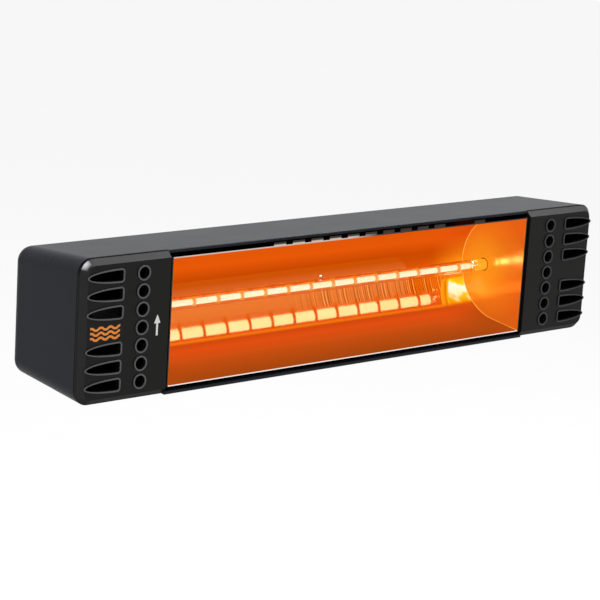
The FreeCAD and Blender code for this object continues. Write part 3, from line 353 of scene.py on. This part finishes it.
# %% Trough: the painted reflection of the cap
block_lean = 42 * MM
block_shift = 14 * MM
dent_mm = 9
bars_from, bars_to = 138 * MM, 146 * MM
core_from, core_to = 145 * MM, 146.5 * MM
soft_edge = 0.5 * MM
skew = add(tree, "Math", {"operation": "MULTIPLY_ADD", 0: height, 1: -block_lean, 2: block_shift})
skew = add(tree, "Math", {"operation": "ADD", 0: far, 1: skew})
wavy = add(tree, "TexNoise", {"Scale": 1 / (dent_mm * MM), "Detail": 1.0, "Vector": place})
wavy = add(tree, "MapRange", {"Value": wavy, "From Min": 0.3, "From Max": 0.7,
                              "To Min": -0.03, "To Max": 0.03})
bent = add(tree, "Math", {"operation": "ADD", 0: height, 1: wavy})
core = add(tree, "ValToRGB", {"Fac": bent, "stops": [
    (0.15, "#e8900c"), (0.18, "#f8b010"), (0.21, "#fff2c0"),
    (0.28, "#fff8e4"), (0.30, "#f0d418"), (0.34, "#d8b010")]})
bars = add(tree, "MapRange", {"Value": skew, "From Min": bars_from, "From Max": bars_to})
bars = add(tree, "ValToRGB", {"Fac": bars, "stops": [
    (0.0, "#f2a012"), (0.45, "#e08408"), (0.6, "#b06a08"), (0.75, "#e89a10"), (1.0, "#f4b420")]})
inward = add(tree, "MapRange", {"Value": skew, "From Min": core_from, "From Max": core_to})
painted_cap_reflection = add(tree, "Mix", {"data_type": "RGBA", "Factor": inward, 6: bars, 7: core}, 2)
band = add(tree, "ValToRGB", {"Fac": height, "stops": [(0.135, "#000000"), (0.155, "#ffffff"),
                                                       (0.33, "#ffffff"), (0.35, "#000000")]})
column = add(tree, "MapRange", {"Value": skew, "From Min": bars_from - soft_edge,
                                "From Max": bars_from + soft_edge})
patch = add(tree, "Math", {"operation": "MULTIPLY", 0: band, 1: column})
painted_glow = add(tree, "Mix", {"data_type": "RGBA", "Factor": patch, 6: painted_glow, 7: painted_cap_reflection}, 2)
print("mirrored caps added")

# %% [markdown]
# Trough and end plate meet in a painted bright line just under a millimetre wide. The metal's tint,
# which stands for the lamp's light, is painted darker above and below the band where the second row
# of bars shows, so the metal mirrors best in that band.

# %% Trough: painted seam line and painted tint
seam_width = 0.8 * MM
# A painted bright line where trough and end plate meet.
painted_seam_line = add(tree, "Math", {"operation": "GREATER_THAN", 0: far, 1: plate_inner - seam_width})
bright = add(tree, "ValToRGB", {"Fac": lines, "stops": [(0.3, "#ff9a30"), (0.7, "#ffb850")]})
painted_glow = add(tree, "Mix", {"data_type": "RGBA", "Factor": painted_seam_line, 6: painted_glow, 7: bright}, 2)
# The orange tint is painted lamp light, darker above and below the band of mirrored bars.
painted_tint_by_height = add(tree, "ValToRGB", {"Fac": height, "stops": [
    (0.08, "#56280a"), (0.14, "#7a4420"), (0.16, "#8e563f"), (0.22, "#8e563f"), (0.25, "#8e5131"),
    (0.45, "#8e5131"), (0.55, "#56280a")]})
golden_painted_tint = add(tree, "ValToRGB", {"Fac": height, "stops": [(0.08, "#5c320c"), (0.18, "#8a6030"),
                                                         (0.45, "#ba924c"), (0.55, "#704010")]})
painted_tint = add(tree, "Mix", {"data_type": "RGBA", "Factor": end, 6: painted_tint_by_height, 7: golden_painted_tint}, 2)
sheet_end(tree, lines, lit, painted_tint, unlit_colour, painted_glow, 0.06)
print(reflector_sheet.name, "nodes", len(tree.nodes))

# %% [markdown]
# Of the end plates only the inner faces get the painted glow, and those lie at one distance from the
# middle. The rim of the plate stands outside the trough, whose walls spread forward with a slope of
# about 0.11, and stays dark. The painted glow is strongest around the lamp and falls off with the
# distance from its axis.

# %% End plates
trough_slope = 0.11
trough_mouth = 28.5 * MM
glow_reach = 45 * MM
plate_skin = 0.1 * MM
plate_sheet, tree, place, lines, reach, far = sheet_start("rolled_aluminium_end")
inner = add(tree, "Math", {"operation": "LESS_THAN", 0: far, 1: plate_inner + plate_skin})
spread = add(tree, "VectorMath", {"operation": "ABSOLUTE", 0: place})
spread = add(tree, "VectorMath", {"operation": "DOT_PRODUCT", 0: spread,
                                  1: (0.0, -trough_slope, 1.0)}, "Value")
below = add(tree, "Math", {"operation": "LESS_THAN", 0: spread, 1: trough_mouth})
lit = add(tree, "Math", {"operation": "MULTIPLY", 0: inner, 1: below})
radius = add(tree, "VectorMath", {"operation": "LENGTH", 0: reach}, "Value")
share = add(tree, "MapRange", {"Value": radius, "From Max": glow_reach})
# Painted glow of the lamp's light, strongest near the lamp's axis.
painted_glow = add(tree, "ValToRGB", {"Fac": share, "stops": [(0.0, "#e08a18"), (0.3, "#dc8418"),
                                                      (0.6, "#d46e16"), (1.0, "#c85c14")]})
# The orange tint stands for the lamp's light, painted into the metal.
painted_tint = add(tree, "ValToRGB", {"Fac": lines, "stops": [(0.3, "#8c5c30"), (0.7, "#986838")]})
back = add(tree, "ValToRGB", {"Fac": lines, "stops": shaded_back_stops})
sheet_end(tree, lines, lit, painted_tint, back, painted_glow, 0.18)
print(plate_sheet.name, "nodes", len(tree.nodes))

# %% [markdown]
# The lamp ends in caps of steatite, a dense ceramic. Next to the filament they carry a painted glow:
# the part inside the trough is lit through, and the part behind the end plate is darker brown.

# %% Ceramic caps with painted glow
fired_mm = 0.5
steatite, tree = start("steatite_ceramic")
place = add(tree, "TexCoord", out="Object")
across = add(tree, "SeparateXYZ", {"Vector": place}, "X")
far = add(tree, "Math", {"operation": "ABSOLUTE", 0: across})
inside = add(tree, "Math", {"operation": "LESS_THAN", 0: far, 1: plate_inner})
grain = add(tree, "TexNoise", {"Scale": 1 / (fired_mm * MM), "Vector": place})
light_in_trough = add(tree, "ValToRGB", {"Fac": grain, "stops": [(0.3, "#8a5a22"), (0.7, "#9c6a2e")]})
dark_behind_plate = add(tree, "ValToRGB", {"Fac": grain, "stops": [(0.3, "#2c2620"), (0.7, "#3c342c")]})
# The amber emission is a painted glow inside the trough.
painted_glow_amber = add(tree, "ValToRGB", {"Fac": grain, "stops": [(0.3, "#ec9812"), (0.7, "#f4a41c")]})
colour = add(tree, "Mix", {"data_type": "RGBA", "Factor": inside, 6: dark_behind_plate, 7: light_in_trough}, 2)
shader = add(tree, "BsdfPrincipled", {"Roughness": 0.5, "Base Color": colour, "Emission Color": painted_glow_amber,
                                      "Emission Strength": inside})
add(tree, "OutputMaterial", {"Surface": shader})
print(steatite.name)

# %% [markdown]
# The lamp is a clear quartz tube. Quartz bends light a little less than window glass, and its
# surface is drawn, so it is smooth with faint unevenness along its length.

# %% Quartz glass
quartz_ior = 1.458
draw_mm = 3
draw_stretch = (0.1, 1.0, 1.0)
quartz, tree = start("fused_quartz")
place = add(tree, "TexCoord", out="Object")
along = add(tree, "Mapping", {"Scale": draw_stretch, "Vector": place})
draw = add(tree, "TexNoise", {"Scale": 1 / (draw_mm * MM), "Vector": along})
haze = add(tree, "MapRange", {"Value": draw, "To Min": 0.02, "To Max": 0.06})
clear = add(tree, "ValToRGB", {"Fac": draw, "stops": [(0.3, "#fff4e4"), (0.7, "#ffffff")]})
shader = add(tree, "BsdfPrincipled", {"IOR": quartz_ior, "Transmission Weight": 1.0,
                                      "Base Color": clear, "Roughness": haze})
add(tree, "OutputMaterial", {"Surface": shader})
print(quartz.name)

# %% [markdown]
# The filament is the light itself: tungsten at white heat, and cooler, orange, where its supports
# lead the heat away. The supports stand at one pitch, so the place along X is wrapped to that pitch
# and its distance from the nearest support sets the colour and the strength of the emission. A
# camera can't hold the lamp's full strength, so seen straight on it is a pale cream, and the glossy
# depth of a ray tells when it comes by way of the sheet and carries all of the light.

# %% White-hot tungsten
support_thickness = 0.6 * MM
coil_gaps = 13
support_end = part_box("filament_supports")[1][0] - support_thickness / 2
support_pitch = 2 * support_end / coil_gaps
cool_reach, hot_reach = 0.85 * MM, 1.1 * MM
seen_strength, mirrored_strength = 1.05, 10.0
flicker_mm = 9
dark_metal = linear("#241c16")
hot_tungsten, tree = start("white_hot_tungsten")
place = add(tree, "TexCoord", out="Object")
flicker = add(tree, "TexNoise", {"Scale": 1 / (flicker_mm * MM), "Vector": place})
white = add(tree, "ValToRGB", {"Fac": flicker, "stops": [(0.25, "#fff4e2"), (0.75, "#fffcf6")]})
orange = add(tree, "ValToRGB", {"Fac": flicker, "stops": [(0.25, "#f08a20"), (0.75, "#f89c30")]})
along = add(tree, "SeparateXYZ", {"Vector": place}, "X")
along = add(tree, "Math", {"operation": "SUBTRACT", 0: along, 1: support_end})
along = add(tree, "Math", {"operation": "WRAP", 0: along, 1: support_pitch / 2, 2: -support_pitch / 2})
along = add(tree, "Math", {"operation": "ABSOLUTE", 0: along})
hot = add(tree, "MapRange", {"Value": along, "From Min": cool_reach, "From Max": hot_reach})
bounced = add(tree, "LightPath", out="Glossy Depth")
cream = add(tree, "ValToRGB", {"Fac": flicker, "stops": [(0.25, "#ffefbe"), (0.75, "#fff5d4")]})
white = add(tree, "Mix", {"data_type": "RGBA", "Factor": bounced, 6: cream, 7: white}, 2)
heat = add(tree, "Mix", {"data_type": "RGBA", "Factor": hot, 6: orange, 7: white}, 2)
strong = add(tree, "MapRange", {"Value": bounced, "To Min": seen_strength, "To Max": mirrored_strength})
strength = add(tree, "MapRange", {"Value": hot, "To Min": 1.0, "To Max": strong})
shader = add(tree, "BsdfPrincipled", {"Metallic": 1.0, "Roughness": 0.4, "Base Color": dark_metal,
                                      "Specular Tint": dark_metal, "Emission Color": heat,
                                      "Emission Strength": strength})
add(tree, "OutputMaterial", {"Surface": shader})
print(hot_tungsten.name, "support pitch mm", round(support_pitch / MM, 2))

# %% [markdown]
# Every solid from the CAD model keeps its shape and gets its finish here. The table is read by
# finish, as a parts list would be.

# %% Dress the solids
finishes = {
    powder_coat: ["housing", "wall_bracket", "yoke"],
    cover_abs: ["left_cover", "right_cover"],
    reflector_sheet: ["reflector"],
    plate_sheet: ["left_end_plate", "right_end_plate"],
    quartz: ["lamp_tube"],
    hot_tungsten: ["lamp_filament", "filament_supports"],
    steatite: ["lamp_end_caps"],
    stoneware: ["left_lampholder", "right_lampholder"],
    nickel: ["lamp_contacts", "left_contact_plunger", "right_contact_plunger", "holder_tabs", "earth_tag"],
    spring_wire: ["left_contact_spring", "right_contact_spring"],
    zinc_steel: ["cover_screws", "end_plate_screws", "terminal_screws", "terminal_block_screws",
                 "earth_screw", "earth_nuts", "yoke_screws", "yoke_nuts", "pivot_bolts", "pivot_nuts",
                 "guide_bolts", "knob_washers"],
    black_steel: ["left_holder_bracket", "right_holder_bracket", "holder_screws", "holder_bracket_screws"],
    silicone: ["left_lead", "right_lead", "lead_clips"],
    striped_sleeve: ["earth_lead"],
    seal_rubber: ["lead_grommets", "gland_seal"],
    polyamide: ["terminal_block", "friction_washers"],
    brass: ["terminal_barrels"],
    knob_nylon: ["gland_body", "gland_locknut", "gland_cap", "left_knob", "right_knob"],
}
dressed = 0
for finish, names in finishes.items():
    for name in names:
        mesh = nodes[name].data
        mesh.materials.clear()
        mesh.materials.append(finish)
        dressed += 1
print("dressed", dressed, "of", len(nodes))

# %% [markdown]
# ## The filament
# The solid filament is a row of plain bars. The real one is a wound wire: fifteen coils in line,
# each held from the next by a support, with one straight leg passing from coil to coil. A small
# circle on a Screw modifier winds a coil, so the turns are real geometry. One long coil is modelled
# and copied, and the two shorter coils at the ends are wound the same way.

# %% Wind a coil
wire_radius = 0.36 * MM
coil_radius = 1.7 * MM
winding_pitch = 0.9 * MM
seal_and_neck = 13.0 * MM
support_gap = 1.7 * MM
steps_a_turn = 12
merge_distance = 0.001 * MM


def wind(name, first, last, wire, radius, turns, sides=6):
    bpy.ops.object.select_all(action="DESELECT")
    bpy.ops.mesh.primitive_circle_add(vertices=sides, radius=wire, rotation=(math.pi / 2, 0, 0))
    made = bpy.context.object
    made.name = name
    bpy.ops.object.transform_apply(location=True, rotation=True, scale=True)
    bpy.ops.object.mode_set(mode="EDIT")
    bpy.ops.mesh.select_all(action="SELECT")
    bpy.ops.transform.translate(value=(0, 0, radius))
    bpy.ops.object.mode_set(mode="OBJECT")
    screw = made.modifiers.new("winding", "SCREW")
    screw.axis = "X"
    screw.screw_offset = (last - first) / turns
    screw.iterations = turns
    screw.steps = screw.render_steps = steps_a_turn
    bpy.ops.object.modifier_apply(modifier="winding")
    bpy.ops.object.mode_set(mode="EDIT")
    bpy.ops.mesh.select_all(action="SELECT")
    bpy.ops.mesh.remove_doubles(threshold=merge_distance)
    bpy.ops.mesh.fill_holes(sides=sides)
    bpy.ops.mesh.normals_make_consistent(inside=False)
    bpy.ops.transform.translate(value=(first, lamp_y, 0))
    bpy.ops.object.mode_set(mode="OBJECT")
    return made


def wind_hot(name, first, last):
    return wind(name, first, last, wire_radius, coil_radius, round((last - first) / winding_pitch))


filament_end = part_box("lamp_filament")[1][0]
coil_end = filament_end - seal_and_neck
supports = [-support_end + index * support_pitch for index in range(coil_gaps + 1)]
coils = [wind_hot("coil_left", -coil_end, supports[0] - support_gap / 2),
         wind_hot("coil_right", supports[-1] + support_gap / 2, coil_end)]
middle = wind_hot("coil_middle", supports[0] + support_gap / 2, supports[1] - support_gap / 2)
coils.append(middle)
for index in range(1, coil_gaps):
    bpy.ops.object.select_all(action="DESELECT")
    middle.select_set(True)
    bpy.context.view_layer.objects.active = middle
    bpy.ops.object.duplicate()
    copy = bpy.context.object
    bpy.ops.object.mode_set(mode="EDIT")
    bpy.ops.mesh.select_all(action="SELECT")
    bpy.ops.transform.translate(value=(index * support_pitch, 0, 0))
    bpy.ops.object.mode_set(mode="OBJECT")
    coils.append(copy)
print("coils", len(coils))

# %% [markdown]
# The legs are short straight wires. Each starts as a cylinder with its rims bevelled, so that its
# ends blend into the turns that it touches. At both ends of the lamp a thicker tail runs into the
# seal. Then all of it is joined into one piece that stands for the solid filament.

# %% Legs, tails and the joined filament
leg_sides = 10
rim_share = 0.3
smooth_angle = math.radians(40)


def straight_wire(first, last, radius, height):
    bpy.ops.object.select_all(action="DESELECT")
    spot = ((first + last) / 2, lamp_y, height)
    bpy.ops.mesh.primitive_cylinder_add(vertices=leg_sides, radius=radius, depth=last - first,
                                        location=spot, rotation=(0, math.pi / 2, 0))
    made = bpy.context.object
    bpy.ops.object.transform_apply(location=True, rotation=True, scale=True)
    bevel = made.modifiers.new("soft_ends", "BEVEL")
    bevel.width = radius * rim_share
    bevel.segments = 2
    bpy.ops.object.modifier_apply(modifier="soft_ends")
    return made


leg_radius = wire_radius * 0.9
tail_radius = 0.42 * MM
for middle_x in supports:
    coils.append(straight_wire(middle_x - support_gap, middle_x + support_gap, leg_radius, coil_radius))
coils.append(straight_wire(-filament_end, -coil_end, tail_radius, 0))
coils.append(straight_wire(coil_end, filament_end, tail_radius, 0))
bpy.ops.object.select_all(action="DESELECT")
for piece in coils:
    piece.select_set(True)
bpy.context.view_layer.objects.active = coils[0]
bpy.ops.object.join()
filament = bpy.context.object
filament.name = "filament_coils"
bpy.ops.object.shade_smooth_by_angle(angle=smooth_angle)
filament.data.materials.clear()
filament.data.materials.append(hot_tungsten)
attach(filament, "heater")
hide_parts("lamp_filament")
print("filament faces", len(filament.data.polygons))

# %% [markdown]
# ## The contact springs
# In each lampholder a sprung plunger presses on the end of the lamp. A solid spring can't shorten,
# so the spring is wound again with the tool that wound the filament.

# %% Contact springs
thick_wire = 0.45 * MM
spring_radius = 3.3 * MM
spring_turns = 6
spring_sides = 10
smooth_angle = math.radians(50)
for side in ("left", "right"):
    solid = side + "_contact_spring"
    low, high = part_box(solid)
    piece = wind(side + "_spring_coil", low[0] + thick_wire, high[0] - thick_wire, thick_wire,
                 spring_radius, spring_turns, spring_sides)
    bpy.ops.object.shade_smooth_by_angle(angle=smooth_angle)
    piece.data.materials.clear()
    piece.data.materials.append(spring_wire)
    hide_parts(solid)
    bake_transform(piece)
    print(piece.name, "length mm", round((high[0] - low[0]) / MM, 2), "faces", len(piece.data.polygons))

# %% [markdown]
# ## Printed marks
# The left cover carries two prints: an orange heat sign of three waves between the slots, and a
# white arrow that shows which way is up. Both start as a flat strip. One helper picks the edge that
# grows, and one turns the finished outline into a layer of ink. The ink has a little thickness, so it
# is solid and catches light.

# %% Ink
orange_ink = grained("orange_screen_print", "#d8781a", "#e88a24", 0.3, 0.005, 0.5)
white_ink = grained("white_screen_print", "#d4d4d2", "#e6e6e4", 0.3, 0.005, 0.5)
ink_thickness = 0.08 * MM
ink_y = front_y - ink_thickness / 2


def strip(width, height):
    bpy.ops.object.select_all(action="DESELECT")
    bpy.ops.mesh.primitive_plane_add(size=1.0, rotation=(math.pi / 2, 0, 0))
    made = bpy.context.object
    bpy.ops.object.transform_apply(location=True, rotation=True, scale=True)
    bpy.ops.object.mode_set(mode="EDIT")
    bpy.ops.mesh.select_mode(type="VERT")
    bpy.ops.mesh.select_all(action="SELECT")
    bpy.ops.transform.resize(value=(width, 1, height))
    bpy.ops.object.mode_set(mode="OBJECT")
    return made


def pick(made, axis):
    bpy.ops.object.mode_set(mode="EDIT")
    bpy.ops.mesh.select_all(action="DESELECT")
    bpy.ops.object.mode_set(mode="OBJECT")
    for corner in made.data.vertices:
        corner.select = corner.co[axis] > 0
    bpy.ops.object.mode_set(mode="EDIT")


def printed(made, name, finish, shift):
    bpy.ops.mesh.select_all(action="SELECT")
    bpy.ops.mesh.remove_doubles(threshold=merge_distance)
    bpy.ops.transform.translate(value=shift)
    bpy.ops.object.mode_set(mode="OBJECT")
    made.name = name
    ink_layer = made.modifiers.new("ink", "SOLIDIFY")
    ink_layer.thickness = ink_thickness
    ink_layer.offset = 0.0
    bpy.ops.object.modifier_apply(modifier="ink")
    bpy.ops.object.mode_set(mode="EDIT")
    bpy.ops.mesh.select_all(action="SELECT")
    bpy.ops.mesh.normals_make_consistent(inside=False)
    bpy.ops.object.mode_set(mode="OBJECT")
    made.data.materials.clear()
    made.data.materials.append(finish)
    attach(made, "heater")
    print(name, [round(v / MM, 2) for v in made.dimensions], "faces", len(made.data.polygons))


print("inks", orange_ink.name, white_ink.name)

# %% [markdown]
# A wave is spun from the strip's right edge: an eighth of a turn down, a quarter turn up, and so on.
# Each spin starts where the last one ended, so the script follows the edge's place and heading.

# %% Waves of the heat sign
stroke = 1.5 * MM
bend = 2.6 * MM
spin_steps = 8
sign_left = -225.0 * MM
sign_rows = (3.2 * MM, 0.0, -3.2 * MM)
wave_turns = (-45, 90, -90, 90, -90, 90, -45)
for index, row in enumerate(sign_rows):
    piece = strip(stroke / 2, stroke)
    pick(piece, 0)
    spot = Vector((stroke / 4, 0, 0))
    heading = 0.0
    for turn in wave_turns:
        angle = math.radians(turn)
        upward = Vector((-math.sin(heading), 0, math.cos(heading)))
        centre = spot + upward * math.copysign(bend, angle)
        bpy.ops.mesh.spin(steps=spin_steps, angle=angle, center=centre, axis=(0, 1, 0))
        spot = centre + Matrix.Rotation(-angle, 3, "Y") @ (spot - centre)
        heading += angle
    printed(piece, "heat_wave_%d" % (index + 1), orange_ink, (sign_left, ink_y, row))

# %% [markdown]
# The arrow starts as one upright strip. Its top edge is extruded in place, widened, and extruded
# again to a point.

# %% Arrow
shaft = (1.5 * MM, 8.0 * MM)
head = (5.0 * MM, 5.5 * MM)
neck = 0.05 * MM
tip_share = 0.05
arrow_x = -173.5 * MM
arrow = strip(*shaft)
pick(arrow, 2)
bpy.ops.mesh.extrude_region_move(TRANSFORM_OT_translate={"value": (0, 0, neck)})
bpy.ops.transform.resize(value=(head[0] / shaft[0], 1, 1))
bpy.ops.mesh.extrude_region_move(TRANSFORM_OT_translate={"value": (0, 0, head[1])})
bpy.ops.transform.resize(value=(tip_share, 1, 1))
printed(arrow, "up_arrow", white_ink, (arrow_x, ink_y, -head[1] / 2))

# %% [markdown]
# ## Light and camera
# The heater is shown as in a catalogue: white surroundings, soft light from above, and a long lens
# a little above the heater, turned to its left end. The world is white where the camera looks at it,
# straight on, by a mirror or through glass. As a light it is dimmer, so that the heater isn't washed
# out.

# %% Surroundings
world_strength = 0.55


def seen_rays(tree):
    camera = add(tree, "LightPath", out="Is Camera Ray")
    glossy = add(tree, "LightPath", out="Is Glossy Ray")
    through = add(tree, "LightPath", out="Is Transmission Ray")
    seen = add(tree, "Math", {"operation": "MAXIMUM", 0: camera, 1: glossy})
    return add(tree, "Math", {"operation": "MAXIMUM", 0: seen, 1: through})


scene = bpy.context.scene
scene.view_settings.view_transform = "Standard"
world = bpy.data.worlds.new("studio")
scene.world = world
world.use_nodes = True
tree = world.node_tree
tree.nodes.clear()
strength = add(tree, "MapRange", {"Value": seen_rays(tree), "To Min": world_strength, "To Max": 1.0})
sky = add(tree, "Background", {"Color": (1, 1, 1, 1), "Strength": strength})
add(tree, "OutputWorld", {"Surface": sky})
print("world", world.name)

# %% [markdown]
# The floor is a wide plane of pale matt paint. Most of what the camera sees of it is plain white, so
# that it runs into the world behind it, and the rest keeps the heater's soft shadow.

# %% Floor
floor_level = -0.45
floor_size = 12.0
speckle_scale = 20.0
white_share = 0.85
bpy.ops.object.select_all(action="DESELECT")
bpy.ops.mesh.primitive_plane_add(size=floor_size, location=(0, 0, floor_level))
floor = bpy.context.object
floor.name = "studio_floor"
floor_paint, tree = start("pale_floor")
place = add(tree, "TexCoord", out="Object")
speckle = add(tree, "TexNoise", {"Scale": speckle_scale, "Vector": place})
pale = add(tree, "ValToRGB", {"Fac": speckle, "stops": [(0.3, "#f6f6f6"), (0.7, "#fafafa")]})
matt = add(tree, "BsdfDiffuse", {"Color": pale})
share = add(tree, "Math", {"operation": "MULTIPLY", 0: seen_rays(tree), 1: white_share})
white = add(tree, "Emission", {"Color": (1, 1, 1, 1), "Strength": 1.0})
both = add(tree, "MixShader", {0: share, 1: matt, 2: white})
add(tree, "OutputMaterial", {"Surface": both})
floor.data.materials.append(floor_paint)
print("floor", floor.name)


# %% [markdown]
# Three soft boxes light the heater: a large one overhead, a weak one in front for the covers, and a
# narrow one behind the right end that draws the upper edge.

# %% Lamps of the studio
def soft_box(name, place, target, size, watts):
    light = bpy.data.lights.new(name, "AREA")
    light.shape = "RECTANGLE"
    light.size, light.size_y = size
    light.energy = watts
    made = bpy.data.objects.new(name, light)
    bpy.context.collection.objects.link(made)
    way = Vector(target) - Vector(place)
    made.matrix_world = Matrix.Translation(place) @ way.to_track_quat("-Z", "Y").to_matrix().to_4x4()
    return made


soft_box("overhead", (-0.2, -0.3, 1.4), (0, -0.09, 0), (1.6, 1.0), 14)
soft_box("front_left", (-1.1, -1.2, 0.9), (0, -0.09, 0), (0.8, 0.8), 2)
soft_box("rim_right", (1.0, 0.1, 1.15), (0, -0.1, 0), (0.9, 0.3), 16)
print("soft boxes", len(bpy.data.lights))

# %% [markdown]
# The camera was worked out from the photograph's straight edges: where it stands, how it is turned,
# and its lens. Its matrix is built from the three directions right, up and back.

# %% Camera
azimuth, elevation, roll = (math.radians(a) for a in (-41.14, 13.03, 3.52))
focal_px = 2200.0
image_px = 600.0
sensor_mm = 36.0
aim = Vector((0.0, -127.5, 0.3)) * MM
offset = Vector((41.1, 2.005, 1510.7)) * MM
level_share = math.cos(elevation)
back = Vector((math.sin(azimuth) * level_share, -math.cos(azimuth) * level_share, math.sin(elevation)))
side = (-back).cross(Vector((0, 0, 1))).normalized()
rise = side.cross(-back)
right = side * math.cos(roll) + rise * math.sin(roll)
up = rise * math.cos(roll) - side * math.sin(roll)
eye = aim - right * offset.x - up * offset.y + back * offset.z
lens = bpy.data.cameras.new("long_lens")
lens.sensor_width = sensor_mm
lens.lens = focal_px / image_px * sensor_mm
lens.clip_end = 20.0
camera = bpy.data.objects.new("camera", lens)
bpy.context.collection.objects.link(camera)
turn = Matrix((right, up, back)).transposed().to_4x4()
camera.matrix_world = Matrix.Translation(eye) @ turn
scene.camera = camera
print("camera at", [round(v, 3) for v in eye])
